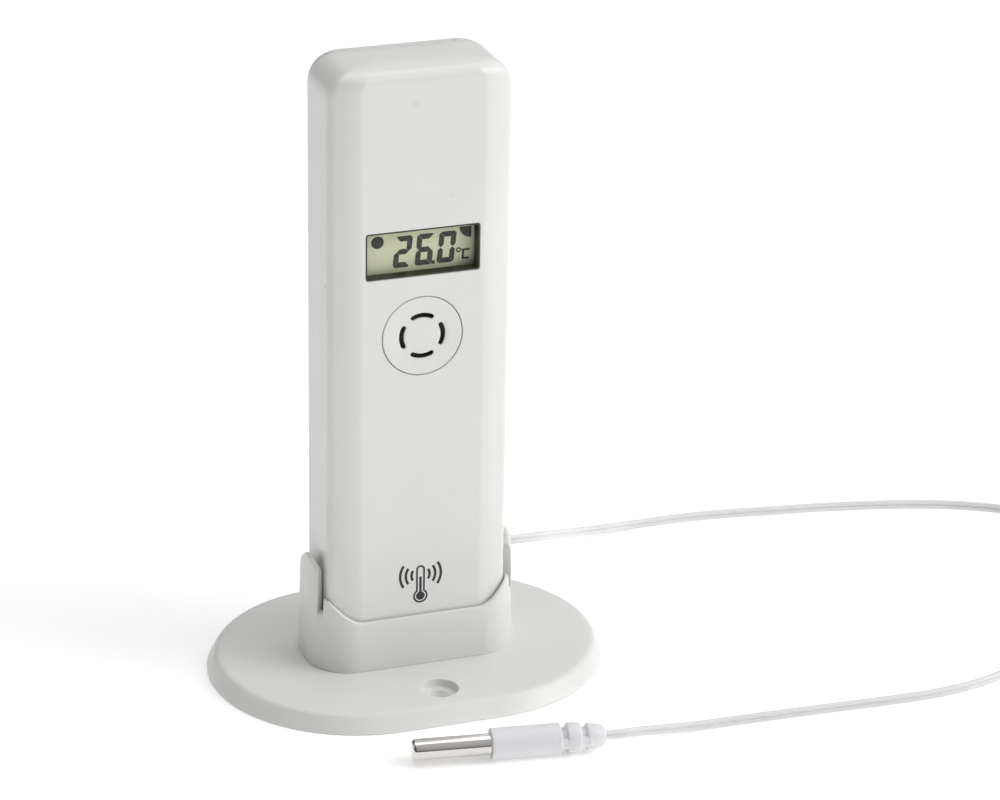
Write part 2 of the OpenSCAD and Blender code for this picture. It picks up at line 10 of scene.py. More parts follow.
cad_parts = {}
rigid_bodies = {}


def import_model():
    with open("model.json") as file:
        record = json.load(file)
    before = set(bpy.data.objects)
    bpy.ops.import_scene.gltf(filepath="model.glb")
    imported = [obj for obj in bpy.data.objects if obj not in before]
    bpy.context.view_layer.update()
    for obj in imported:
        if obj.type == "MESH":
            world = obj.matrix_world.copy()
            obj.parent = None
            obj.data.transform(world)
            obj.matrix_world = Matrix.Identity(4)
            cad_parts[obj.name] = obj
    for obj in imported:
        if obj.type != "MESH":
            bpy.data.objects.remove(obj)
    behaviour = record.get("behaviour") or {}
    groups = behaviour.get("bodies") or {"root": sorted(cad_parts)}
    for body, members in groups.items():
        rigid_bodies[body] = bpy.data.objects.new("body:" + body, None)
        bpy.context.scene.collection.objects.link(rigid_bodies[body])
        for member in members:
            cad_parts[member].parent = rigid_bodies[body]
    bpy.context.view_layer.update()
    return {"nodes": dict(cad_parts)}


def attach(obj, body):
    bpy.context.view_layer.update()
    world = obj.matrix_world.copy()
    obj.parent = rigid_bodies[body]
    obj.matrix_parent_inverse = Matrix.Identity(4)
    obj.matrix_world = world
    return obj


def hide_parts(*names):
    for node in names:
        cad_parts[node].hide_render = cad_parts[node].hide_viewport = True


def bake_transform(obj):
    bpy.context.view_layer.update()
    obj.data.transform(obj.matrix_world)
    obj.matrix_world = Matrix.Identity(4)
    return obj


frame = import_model()
MM = 0.001


# ---- camera, floor and light ----

def add_camera():
    turn, pitch, roll = (math.radians(a) for a in (19.84, 23.39, 0.995))
    look = Vector((math.sin(turn) * math.cos(pitch), math.cos(turn) * math.cos(pitch), -math.sin(pitch)))
    level = Vector((math.cos(turn), -math.sin(turn), 0))
    top = level.cross(look)
    right = level * math.cos(roll) + top * math.sin(roll)
    up = top * math.cos(roll) - level * math.sin(roll)
    data = bpy.data.cameras.new("view_camera")
    data.lens = 140.18
    data.sensor_width = 36
    data.clip_start = 0.05
    data.clip_end = 20
    camera = bpy.data.objects.new("view_camera", data)
    bpy.context.collection.objects.link(camera)
    matrix = Matrix((right, up, -look)).transposed().to_4x4()
    matrix.translation = Vector((-0.22574, -0.68066, 0.36837))
    camera.matrix_world = matrix
    bpy.context.scene.camera = camera


def add_light(name, power, size, at, target=(0, 0, 0.06)):
    data = bpy.data.lights.new(name, "AREA")
    data.energy = power
    data.shape = "RECTANGLE"
    data.size, data.size_y = size
    light = bpy.data.objects.new(name, data)
    bpy.context.collection.objects.link(light)
    light.location = at
    light.rotation_euler = (Vector(target) - Vector(at)).to_track_quat("-Z", "Y").to_euler()
    return light


def add_world():
    """Soft surround, brightest from the upper right and dim on the left."""
    world = bpy.data.worlds.new("studio")
    world.use_nodes = True
    nodes, links = world.node_tree.nodes, world.node_tree.links
    back = nodes["Background"]
    coords = nodes.new("ShaderNodeTexCoord")
    toward = nodes.new("ShaderNodeVectorMath")
    toward.operation = "DOT_PRODUCT"
    toward.inputs[1].default_value = (0.72, -0.25, 0.62)
    ramp = nodes.new("ShaderNodeValToRGB")
    links.new(coords.outputs["Generated"], toward.inputs[0])
    links.new(toward.outputs["Value"], ramp.inputs[0])
    stops = ramp.color_ramp.elements
    stops[0].position, stops[0].color = 0.0, (0.14, 0.14, 0.14, 1)
    stops[1].position, stops[1].color = 0.9, (1.0, 1.0, 1.0, 1)
    # The studio's dark edge, low all round, that draws the lines on polished metal
    height = nodes.new("ShaderNodeSeparateXYZ")
    links.new(coords.outputs["Generated"], height.inputs[0])
    edge = nodes.new("ShaderNodeMapRange")
    edge.inputs["From Min"].default_value, edge.inputs["From Max"].default_value = 0.08, 0.16
    edge.inputs["To Min"].default_value, edge.inputs["To Max"].default_value = 0.04, 1.0
    links.new(height.outputs["Z"], edge.inputs["Value"])
    mix = nodes.new("ShaderNodeMix")
    mix.data_type = "RGBA"
    mix.blend_type = "MULTIPLY"
    mix.inputs["Factor"].default_value = 1.0
    links.new(ramp.outputs["Color"], mix.inputs["A"])
    links.new(edge.outputs["Result"], mix.inputs["B"])
    links.new(mix.outputs["Result"], back.inputs["Color"])
    back.inputs["Strength"].default_value = 0.70
    bpy.context.scene.world = world


add_camera()
add_world()
scene = bpy.context.scene
scene.view_settings.view_transform = "Standard"
scene.view_settings.look = "None"
add_light("key_right", 8.0, (0.8, 1.2), (1.2, -0.66, 0.75))
add_light("front_soft", 0.52, (0.35, 0.25), (0.34, -0.30, 0.50), (0, 0, 0.08))
add_light("top_soft", 6.6, (1.3, 1.3), (-0.12, 0.25, 1.32))
add_light("left_rim", 0.65, (0.5, 0.5), (-1.0, 0.32, 0.45))


# ---- materials ----

def material(name, colour, rough=0.4, metal=0.0, spread=0.04, scale=90, bump=0.05, grain=2500,
             coat=0.0, alpha=1.0, sss=0.0, rough_spread=0.06, stretch=(1, 1, 1), ior=1.5):
    """A moulded or metal surface: cloudy colour, uneven gloss and a fine grain, all from noise."""
    m = bpy.data.materials.new(name)
    m.use_nodes = True
    nodes, links = m.node_tree.nodes, m.node_tree.links
    shader = nodes["Principled BSDF"]
    shader.inputs["Metallic"].default_value = metal
    shader.inputs["IOR"].default_value = ior
    shader.inputs["Coat Weight"].default_value = coat
    shader.inputs["Coat Roughness"].default_value = 0.12
    shader.inputs["Alpha"].default_value = alpha
    if sss:
        shader.inputs["Subsurface Weight"].default_value = sss
        shader.inputs["Subsurface Radius"].default_value = (1.0, 0.9, 0.8)
        shader.inputs["Subsurface Scale"].default_value = 0.0008
    coords = nodes.new("ShaderNodeTexCoord")
    scaling = nodes.new("ShaderNodeMapping")
    scaling.inputs["Scale"].default_value = stretch
    links.new(coords.outputs["Object"], scaling.inputs["Vector"])

    def noise(size, detail):
        n = nodes.new("ShaderNodeTexNoise")
        n.inputs["Scale"].default_value = size
        n.inputs["Detail"].default_value = detail
        links.new(scaling.outputs["Vector"], n.inputs["Vector"])
        return n.outputs["Fac"]

    cloud = noise(scale, 3)
    mix = nodes.new("ShaderNodeMix")
    mix.data_type = "RGBA"
    dark = tuple(c * (1 - 2.5 * spread) for c in colour)
    light = tuple(min(1.0, c * (1 + spread)) for c in colour)
    mix.inputs["A"].default_value = (*dark, 1)
    mix.inputs["B"].default_value = (*light, 1)
    links.new(cloud, mix.inputs["Factor"])
    links.new(mix.outputs["Result"], shader.inputs["Base Color"])
    gloss = nodes.new("ShaderNodeMapRange")
    gloss.inputs["To Min"].default_value = max(0.02, rough - rough_spread)
    gloss.inputs["To Max"].default_value = rough + rough_spread
    links.new(noise(scale * 4, 4), gloss.inputs["Value"])
    links.new(gloss.outputs["Result"], shader.inputs["Roughness"])
    if bump:
        relief = nodes.new("ShaderNodeBump")
        relief.inputs["Strength"].default_value = bump
        relief.inputs["Distance"].default_value = 0.0001
        links.new(noise(grain, 2), relief.inputs["Height"])
        links.new(relief.outputs["Normal"], shader.inputs["Normal"])
    return m


WHITE = material("white_case_abs", (0.80, 0.80, 0.78), 0.30, spread=0.02, scale=60, bump=0.10, grain=1800,
                 sss=0.08)
HOLDER = material("holder_abs", (0.79, 0.795, 0.775), 0.36, spread=0.025, scale=70, bump=0.14, grain=1500,
                  sss=0.08)
GASKET = material("gasket_rubber", (0.16, 0.16, 0.17), 0.75, spread=0.12, scale=300, bump=0.3)
STEEL = material("polished_steel", (0.70, 0.68, 0.66), 0.09, 1.0, spread=0.03, scale=300, bump=0.03,
                 grain=900, rough_spread=0.03, stretch=(0.12, 1, 1))
ZINC = material("zinc_screw", (0.62, 0.62, 0.60), 0.32, 1.0, spread=0.08, scale=900, bump=0.12)
NICKEL = material("nickel_contact", (0.72, 0.69, 0.63), 0.24, 1.0, spread=0.06, scale=700, bump=0.1)
# Dark olive frame lining the display window. The frame is a real part, and its near-black colour is also
# painted shade standing in for the shadow on the window's inner walls.
BEZEL_WITH_PAINTED_SHADE = material("bezel_olive", (0.036, 0.038, 0.018), 0.42, spread=0.10, scale=400, bump=0.1)
PANE = material("clear_pane", (0.80, 0.82, 0.76), 0.05, spread=0.01, scale=200, bump=0.0, alpha=0.04,
                rough_spread=0.02, ior=1.46)
CELL = material("lcd_cell", (0.74, 0.765, 0.52), 0.34, spread=0.03, scale=350, bump=0.02, rough_spread=0.03)
SEGMENT = material("lcd_segment", (0.030, 0.032, 0.020), 0.6, spread=0.10, scale=500, bump=0.02, ior=1.15)
INK = material("printed_ink", (0.030, 0.030, 0.032), 0.5, spread=0.12, scale=900, bump=0.2)
ZEBRA = material("zebra_strip", (0.85, 0.45, 0.55), 0.6, spread=0.2, scale=1500, bump=0.1)
MEMBRANE = material("vent_membrane_felt", (0.10, 0.10, 0.10), 0.9, spread=0.3, scale=2500, bump=0.4)
BOARD = material("board_resin", (0.030, 0.17, 0.06), 0.3, spread=0.25, scale=450, bump=0.15, coat=0.3)
CHIP = material("chip_epoxy", (0.030, 0.030, 0.032), 0.55, spread=0.2, scale=1200, bump=0.2)
TIN = material("shield_tin", (0.60, 0.61, 0.62), 0.28, 1.0, spread=0.06, scale=500, bump=0.12)
WIRE = material("aerial_copper", (0.80, 0.52, 0.22), 0.26, 1.0, spread=0.1, scale=900, bump=0.08)
JACKET = material("cell_jacket", (0.16, 0.20, 0.26), 0.28, spread=0.1, scale=120, bump=0.05, coat=0.4)
KEY_GREY = material("key_grey", (0.36, 0.37, 0.38), 0.5, spread=0.06, scale=500, bump=0.2)
IVORY = material("plug_nylon", (0.72, 0.68, 0.54), 0.45, spread=0.05, scale=400, bump=0.1, sss=0.1)
LEAD = material("lead_pvc", (0.77, 0.77, 0.78), 0.34, spread=0.03, scale=250, bump=0.06, sss=0.05)
TIE = material("tie_black", (0.025, 0.025, 0.026), 0.48, spread=0.15, scale=700, bump=0.15)
BOOT = material("boot_pvc", (0.80, 0.795, 0.815), 0.42, spread=0.025, scale=200, bump=0.12, sss=0.12)


def add_floor():
    bpy.ops.mesh.primitive_plane_add(size=8)
    floor = bpy.context.object
    floor.name = "studio_floor"
    paper = material("floor_paper", (0.95, 0.95, 0.945), 0.85, spread=0.004, scale=6, bump=0.0)
    paper.node_tree.nodes["Principled BSDF"].inputs["Emission Color"].default_value = (1, 1, 1, 1)
    paper.node_tree.nodes["Principled BSDF"].inputs["Emission Strength"].default_value = 0.26
    floor.data.materials.append(paper)


add_floor()


# ---- mesh tools (everything is drawn in millimetres and scaled at the end) ----

def new_object(name, bm):
    bmesh.ops.recalc_face_normals(bm, faces=bm.faces)
    mesh = bpy.data.meshes.new(name)
    bm.to_mesh(mesh)
    bm.free()
    obj = bpy.data.objects.new(name, mesh)
    bpy.context.collection.objects.link(obj)
    return obj


def loft(name, rings, closed=False):
    """Skin over rings of equally many points, capped at both ends unless the rings close on themselves."""
    bm = bmesh.new()
    rows = [[bm.verts.new(p) for p in ring] for ring in rings]
    count = len(rows[0])
    pairs = list(zip(rows, rows[1:])) + ([(rows[-1], rows[0])] if closed else [])
    for low, high in pairs:
        for i in range(count):
            j = (i + 1) % count
            bm.faces.new((low[i], low[j], high[j], high[i]))
    if not closed:
        bm.faces.new(rows[0][::-1])
        bm.faces.new(rows[-1])
    return new_object(name, bm)


AXES = {"z": lambda a, b, t: (a, b, t), "y": lambda a, b, t: (a, t, b), "x": lambda a, b, t: (t, a, b)}


def prism(outline, low, high, axis="z"):
    put = AXES[axis]
    return loft("tool", [[put(a, b, t) for a, b in outline] for t in (low, high)])


def box(low, high):
    (x0, y0, z0), (x1, y1, z1) = low, high
    return prism([(x0, y0), (x1, y0), (x1, y1), (x0, y1)], z0, z1)


def circle(r, n=48, at=(0, 0)):
    return [(at[0] + r * math.cos(2 * math.pi * i / n), at[1] + r * math.sin(2 * math.pi * i / n))
            for i in range(n)]


def rod(x, z, r, y0, y1, n=48):
    return prism(circle(r, n, (x, z)), y0, y1, "y")


def post(x, y, r, z0, z1, n=48):
    return prism(circle(r, n, (x, y)), z0, z1)


def lathe(profile, n=64, name="lathe", axis="z", at=(0, 0)):
    """Profile of (radius, place along the axis), revolved. Its ends sit on the axis or close in a ring."""
    put = AXES[axis]
    rings = [[put(at[0] + r * math.cos(2 * math.pi * i / n), at[1] + r * math.sin(2 * math.pi * i / n), t)
              for i in range(n)] for r, t in profile]
    return loft(name, rings)


def eased(outline, reach, steps=3, closed=True):
    """The outline with its corners rounded, never outside the corners."""
    out = []
    count = len(outline)
    for i, here in enumerate(outline):
        if not closed and i in (0, count - 1):
            out.append(tuple(here))
            continue
        here = Vector(here)
        near = reach[i] if isinstance(reach, list) else reach
        before, after = Vector(outline[i - 1]) - here, Vector(outline[(i + 1) % count]) - here
        a = here + before * min(0.45, near / max(before.length, 1e-6))
        b = here + after * min(0.45, near / max(after.length, 1e-6))
        for k in range(steps + 1):
            t = k / steps
            out.append(tuple(a * (1 - t) ** 2 + here * 2 * t * (1 - t) + b * t * t))
    return out


def settle(obj):
    """Applies the object's modifiers."""
    mesh = bpy.data.meshes.new_from_object(obj.evaluated_get(bpy.context.evaluated_depsgraph_get()))
    obj.modifiers.clear()
    obj.data = mesh
    return obj


def combine(obj, tools, operation="DIFFERENCE"):
    group = bpy.data.collections.new("tools")
    for tool in tools:
        group.objects.link(tool)
    cut = obj.modifiers.new("combine", "BOOLEAN")
    cut.operation = operation
    cut.solver = "EXACT"
    cut.operand_type = "COLLECTION"
    cut.collection = group
    cut.use_self = True
    settle(obj)
    for tool in tools:
        bpy.data.objects.remove(tool)
    bpy.data.collections.remove(group)
    return obj


def without(obj, *tools):
    return combine(obj, tools)


def joined(obj, *tools):
    return combine(obj, tools, "UNION")


def common(obj, tool):
    return combine(obj, [tool], "INTERSECT")


SOFTEN_ANGLE, SOFTEN_STEPS = 35, 2


def soften(obj, width):
    bev = obj.modifiers.new("soften", "BEVEL")
    bev.width = width
    bev.segments = SOFTEN_STEPS
    bev.limit_method = "ANGLE"
    bev.angle_limit = math.radians(SOFTEN_ANGLE)
    bev.use_clamp_overlap = False
    return settle(obj)


def finish_piece(obj, name, body, mat, replaces=(), sharp=32, width=0.0):
    """Scales a piece drawn in millimetres, smooths its shading and gives it its place in the frame."""
    obj.name = name
    obj.data.name = name
    bm = bmesh.new()
    bm.from_mesh(obj.data)
    bmesh.ops.remove_doubles(bm, verts=bm.verts, dist=0.0008)
    bmesh.ops.dissolve_degenerate(bm, edges=bm.edges, dist=0.0008)
    bm.to_mesh(obj.data)
    bm.free()
    if width:
        soften(obj, width)
    obj.data.transform(Matrix.Scale(MM, 4))
    obj.data.shade_smooth()
    obj.data.set_sharp_from_angle(angle=math.radians(sharp))
    weight = obj.modifiers.new("weight", "WEIGHTED_NORMAL")
    weight.keep_sharp = True
    weight.weight = 80
    settle(obj)
    obj.data.materials.clear()
    obj.data.materials.append(mat)
    if body:
        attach(obj, body)
    if replaces:
        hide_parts(*replaces)
    return obj


# ---- the lead, first: two cords ----

LEAD_T = 1.0
OUTLET = (19.6, 6.2, 21.4)
CASE_ROUTE = [
    (17.9, 6.2, 21.4), OUTLET, (22, 6.2, 21.2), (25, 6.2, 20.6), (28, 7, 20.1), (31, 9, 19), (34, 12, 17.5),
    (37, 16, 15.4), (40, 20.5, 13.1), (43, 25, 10.8), (46, 29.5, 8.5), (49, 33.5, 6.4), (52, 37, 4.6),
    (56, 40, 3), (60, 42, 2), (65, 43.5, 1.2), (70, 44, 1), (80, 44, 1), (90, 43, 1),
    (100, 41.5, 1), (110, 40, 1), (120, 38, 1), (130, 35.5, 1), (140, 32, 1), (150, 26.5, 1),
    (159, 18, 1), (165.5, 8.5, 1), (168.5, -1, 1),
]
TIP_L = 15.6
BOOT_L = 23.0
BOOT_R = 3.15
PROBE_AT = Vector((-13, -43.8, BOOT_R))
PROBE_TURN = math.radians(-8.5)
PROBE_DIR = Vector((math.cos(PROBE_TURN), math.sin(PROBE_TURN), 0))
BOOT_END = PROBE_AT + PROBE_DIR * (TIP_L + BOOT_L)
PROBE_ROUTE = [
    (141, -25.5, 1), (134, -31.5, 1), (127, -38, 1), (119, -43.5, 1), (110, -47.5, 1),
    (100, -49.4, 1), (89, -49.6, 1), (77, -49, 1), (64, -48.4, 1), (54, -48, 1), (46, -48.1, 1.2),
    (39, -48.5, 1.8), (33, -49, 2.5), (29, -49.7, 3), tuple(BOOT_END), tuple(BOOT_END - PROBE_DIR * 2),
]
COIL_AT = (155.0, -8.0)
COIL_WIDE, COIL_NARROW = 13.6, 7.5
COIL_OUTSIDE = 14.6
COIL_LAYERS = 4
LAYER_TURNS = 4.25
LAYER_STEP = 2.1


def spline(points, steps):
    """Points on a smooth curve through the given ones."""
    p = [Vector(q) for q in points]
    last = len(p) - 1
    out = []
    for i in range(last):
        a, b, c, d = p[max(i - 1, 0)], p[i], p[i + 1], p[min(i + 2, last)]
        for k in range(steps):
            t = k / steps
            out.append(0.5 * (2 * b + (c - a) * t + (2 * a - 5 * b + 4 * c - d) * t * t
                              + (3 * b - a - 3 * c + d) * t ** 3))
    return out + [p[last]]


def coil_points():
    """Turns wound clockwise from the floor up, a layer inwards and a layer outwards in turn."""
    start, per_turn = math.radians(27), 30
    total = COIL_LAYERS * LAYER_TURNS
    out = []
    for i in range(int(total * per_turn)):
        turn = i / per_turn
        layer, part = divmod(turn, LAYER_TURNS)
        inward = part / LAYER_TURNS
        share = inward if layer % 2 == 0 else 1 - inward
        r = COIL_WIDE + (COIL_NARROW - COIL_WIDE) * share
        rise = min(1.0, max(0.0, (part - LAYER_TURNS + 0.3) / 0.3))
        z = 1 + LAYER_STEP * (layer + (rise * rise * (3 - 2 * rise) if layer < COIL_LAYERS - 1 else 0))
        angle = start - 2 * math.pi * turn
        under_tie = math.exp(-(((angle - math.pi / 2 + math.pi) % (2 * math.pi) - math.pi) / 0.35) ** 2)
        z += 0.45 * under_tie
        wander = 0.12 * math.sin(3 * angle + 1.7 * turn)
        out.append(Vector((COIL_AT[0] + (r + wander) * math.cos(angle),
                           COIL_AT[1] + (r + wander) * math.sin(angle), z)))
    # The last turn comes down round the outside and leaves along the table
    top = 1 + LAYER_STEP * (COIL_LAYERS - 1)
    for i in range(31):
        t = i / 30
        angle = start - math.radians(105) * t
        r = COIL_WIDE + (COIL_OUTSIDE - COIL_WIDE) * min(1.0, 5 * t)
        drop = t * t * (3 - 2 * t)
        out.append(Vector((COIL_AT[0] + r * math.cos(angle), COIL_AT[1] + r * math.sin(angle),
                           top + (1 - top) * drop)))
    return out


def length_of(points):
    return sum((b - a).length for a, b in zip(points, points[1:]))


def twin_lead(name, path, roll=lambda s: 0.0):
    """Two round strands side by side in one jacket, swept along the path, on edge where roll is 0."""
    shape = []
    strand = LEAD_T / 2
    for side in (1, -1):
        for k in range(11):
            a = math.radians(-158 + 316 * k / 10) + (math.pi / 2 if side > 0 else -math.pi / 2)
            shape.append((strand * math.cos(a), side * strand + strand * math.sin(a)))
    rings, travelled = [], 0.0
    for i, here in enumerate(path):
        along = (path[min(i + 1, len(path) - 1)] - path[max(i - 1, 0)]).normalized()
        side = along.cross(Vector((0, 0, 1))).normalized()
        up = side.cross(along)
        turn = roll(travelled)
        across = side * math.cos(turn) + up * math.sin(turn)
        tall = up * math.cos(turn) - side * math.sin(turn)
        rings.append([here + across * u + tall * v for u, v in shape])
        if i < len(path) - 1:
            travelled += (path[i + 1] - here).length
    return loft(name, rings)


case_path = spline(CASE_ROUTE, 3)
coil_part = coil_points()
lead_path = coil_part + spline([coil_part[-1]] + [(148.5, -23.6, 1)] + PROBE_ROUTE, 4)[1:]
coil_length = length_of(coil_part)

case_lead = twin_lead("case_lead", case_path)
probe_lead = twin_lead("probe_lead", lead_path,
                       lambda s: 0.25 * math.sin(s / 23) * min(1.0, max(0.0, (coil_length - s) / 40)))
finish_piece(case_lead, "case_lead", None, LEAD, ["lead_to_case"], sharp=80)
finish_piece(probe_lead, "probe_lead", "stand", LEAD, ["lead_coil", "lead_to_probe"], sharp=80)
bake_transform(case_lead)


def coil_tie():
    """A flat strap round the coil's turns, with its twisted ends on the outside."""
    low, high, inner, outer = 0.05, 9.75, 6.5, 15.9
    ring = eased([(inner, low), (outer, low), (outer, high), (inner, high)], 1.6, 6)
    centre = Vector(((inner + outer) / 2, (low + high) / 2))
    rings = []
    for a, b in ring:
        inward = (centre - Vector((a, b))).normalized() * 0.34
        base = Vector((0, COIL_AT[1] + a, b))
        step = Vector((0, inward.x, inward.y))
        rings.append([base + Vector((COIL_AT[0] + u * 1.2, 0, 0)) + step * v
                      for u, v in ((-1, 0), (-0.8, -0.0), (0.8, 0), (1, 0), (1, 1), (-1, 1))])
    strap = loft("strap", rings, closed=True)
    ends = []
    for side in (-1, 1):
        turns = [Vector((COIL_AT[0] + side * 0.42 * math.cos(0.9 * k), COIL_AT[1] + 11.0 + 0.42 * k - 2,
                         9.9 + side * 0.16 * math.sin(0.9 * k))) for k in range(10)]
        ends.append(loft("end", [[p + Vector((0.34 * math.cos(a), 0, 0.2 * math.sin(a)))
                                  for a in (math.tau * j / 8 for j in range(8))] for p in turns]))
    return joined(strap, *ends)


tie = finish_piece(coil_tie(), "coil_tie", "stand", TIE, ["lead_tie"], width=0.08)


# ---- probe ----

def on_probe(obj):
    """Moves a shape drawn along +Z onto the probe's axis."""
    along = PROBE_DIR
    up = Vector((0, 0, 1))
    side = up.cross(along)
    matrix = Matrix((up, side, along)).transposed().to_4x4()
    matrix.translation = PROBE_AT
    obj.data.transform(matrix)
    return obj


def arc(cx, cy, r, a0, a1, n):
    return [(cx + r * math.cos(math.radians(a0 + (a1 - a0) * i / n)),
             cy + r * math.sin(math.radians(a0 + (a1 - a0) * i / n))) for i in range(n + 1)]


def make_boot():
    r = BOOT_R
    end = TIP_L + BOOT_L
    profile = ([(2.2, TIP_L)] + arc(r - 0.3, TIP_L + 0.3, 0.3, -90, 0, 4)
               + [(r, TIP_L + 8), (r, TIP_L + 13.7)] + arc(r - 0.3, TIP_L + 13.7, 0.3, 0, 90, 3)
               + [(1.75, TIP_L + 14.02), (1.75, TIP_L + 15.18)] + arc(r - 0.4, TIP_L + 15.5, 0.3, -90, 0, 3)
               + [(r - 0.12, TIP_L + 17)] + arc(r - 0.5, TIP_L + 17.7, 0.3, 0, 90, 3)
               + [(1.75, TIP_L + 18.02), (1.75, TIP_L + 19.18)] + arc(r - 0.8, TIP_L + 19.5, 0.3, -90, 0, 3)
               + [(2.45, TIP_L + 21), (2.2, TIP_L + 22.3), (1.9, TIP_L + 22.85), (1.6, end)])
    boot = lathe(profile, 72, "boot")
    webs = []
    for low, high in ((13.6, 15.6), (17.6, 19.6)):
        for side in (-1, 1):
            reach = r - (0.12 if low < 15 else 0.45)
            webs.append(prism([(-0.95, side * 1.2), (0.95, side * 1.2), (0.95, side * (reach - 0.16)),
                               (0.4, side * (reach - 0.03)), (0, side * reach),
                               (-0.4, side * (reach - 0.03)), (-0.95, side * (reach - 0.16))],
                              TIP_L + low, TIP_L + high))
    joined(boot, *webs)
    without(boot, post(0, 0, 2.16, TIP_L - 1, TIP_L + 7.9))
    return on_probe(boot)


def make_tip():
    r = 2.15
    outside = [(0.02, 0.0)] + arc(r - 0.75, 0.75, 0.75, -90, 0, 8) + [(r, 3), (r, 8), (r, TIP_L + 7.8)]
    inside = [(r - 0.3, TIP_L + 7.8), (r - 0.3, 1.0), (0.02, 0.5)]
    return on_probe(lathe(outside + inside, 72, "tip"))


boot = finish_piece(make_boot(), "probe_sleeve", "stand", BOOT, ["probe_boot"], width=0.07)
tip = finish_piece(make_tip(), "steel_tip", "stand", STEEL, ["probe_tip"], sharp=50)

# ---- case ----

CASE_HW, CASE_HD = 18.8, 9.5
FOOT_Z, TOP_Z = 3.0, 131.0
SEAM_Y = 6.2
WALL = 1.6
SIDE_R, EDGE_R, DOME = 5.6, 2.5, 0.4
FLAT_HALF = 12.5  # half width of the front's flat
FLAT_PULL = 0.45  # how much of the corner's narrowing the flat takes part in
CROWN_W, CROWN_D = 0.5, 0.28  # width and depth left at the very top, as shares of the shoulder's
FOOT_ROUND = 0.6  # how much of the foot's rounding the front and rear take part in
WINDOW_W, WINDOW_H, WINDOW_Z = 23.5, 9.8, 93.2
VENT_Z, VENT_R = 75.6, 8.4
SCREWS = ((-13.2, 9.4), (13.2, 9.4), (-13, 121.5), (13, 121.5))
BOARD_SCREWS = ((-12.6, 78.6), (12.6, 104), (-12.6, 104))
FRONT_IN = -CASE_HD + WALL
OUTLET_Z, OUTLET_R = 21.4, 1.9


def case_outline(grow_x=0.0, grow_y=0.0):
    """Section of the case from above: flat front, eased facets, straight sides and round rear corners."""
    front = eased([(8, -9.5), (12.7, -9.5), (14.9, -9), (18, -7.8), (18.6, -7.1), (18.8, -6.2), (18.8, -2)],
                  [0, 0.55, 1.1, 0.9, 0.4, 0.6, 0], 4, closed=False)
    rear = [(14.5 + 4.3 * math.cos(math.radians(a)), 5.2 + 4.3 * math.sin(math.radians(a)))
            for a in range(0, 91, 9)]
    right = front[1:-1] + rear
    outline = right + [(-x, y) for x, y in reversed(right)]
    sx, sy = (CASE_HW + grow_x) / CASE_HW, (CASE_HD + grow_y) / CASE_HD
    return [(x * sx, y * sy) for x, y in outline]


def case_body(inset=0.0):
    """The whole case as a closed skin. The front and rear edges round over quickly and the sides slowly,
    the flat of the front narrows a little with them towards the crown, and the top is softly domed."""
    low, high = FOOT_Z + inset, TOP_Z - inset
    hw, hd, side_r = CASE_HW - inset, CASE_HD - inset, max(SIDE_R - inset, 2.2)
    crown = high - DOME
    flat = FLAT_HALF * hw / CASE_HW
    outline = case_outline(-inset, -inset)
    levels = [(low + 1 - math.cos(math.radians(18 * k)), 1.0) for k in range(6)]
    levels += [(z, 1.0) for z in (40, 80, 110)]
    levels += [(crown - side_r * (1 - math.sin(math.radians(5 * k))), 1.0) for k in range(17)]
    shoulder = levels[-1][0]
    levels += [(shoulder + (crown + DOME - shoulder) * (1 - (1 - t) ** 2), 1 - t)
               for t in (0.2, 0.4, 0.6, 0.8, 1)]
    rings = []
    for z, share in levels:
        wide, deep = CROWN_W + (1 - CROWN_W) * share, CROWN_D + (1 - CROWN_D) * share
        over = [min(r, max(0.0, min(z, shoulder) - (crown - r))) for r in (side_r, EDGE_R)]
        width = (hw - side_r + math.sqrt(side_r ** 2 - over[0] ** 2)) * wide
        depth = (hd - EDGE_R + math.sqrt(EDGE_R ** 2 - over[1] ** 2)) * deep
        foot = 1 - math.sqrt(1 - min(1.0, max(0.0, low + 1 - z)) ** 2)
        flat_z = (flat - FLAT_PULL * (hw - width / wide)) * wide
        ring = []
        for x, y in outline:
            past = max(0.0, abs(x) - flat)
            x_new = min(abs(x), flat) * flat_z / flat + past * (width - flat_z) / (hw - flat)
            x_new = math.copysign(x_new - foot * past / (hw - flat), x)
            ring.append((x_new, y * (depth - FOOT_ROUND * foot) / hd, z))
        rings.append(ring)
    return loft("case", rings)


def rounded_rect(w, d, r, steps=6, at=(0, 0)):
    out = []
    for cx, cy, a0 in ((1, 1, 0), (-1, 1, 90), (-1, -1, 180), (1, -1, 270)):
        for k in range(steps + 1):
            a = math.radians(a0 + 90 * k / steps)
            out.append((at[0] + cx * (w / 2 - r) + r * math.cos(a),
                        at[1] + cy * (d / 2 - r) + r * math.sin(a)))
    return out


def outlet_bore():
    return prism(circle(OUTLET_R, 40, (SEAM_Y, OUTLET_Z)), 10, 30, "x")


GROOVE_W, GROOVE_T = 0.2, 0.4


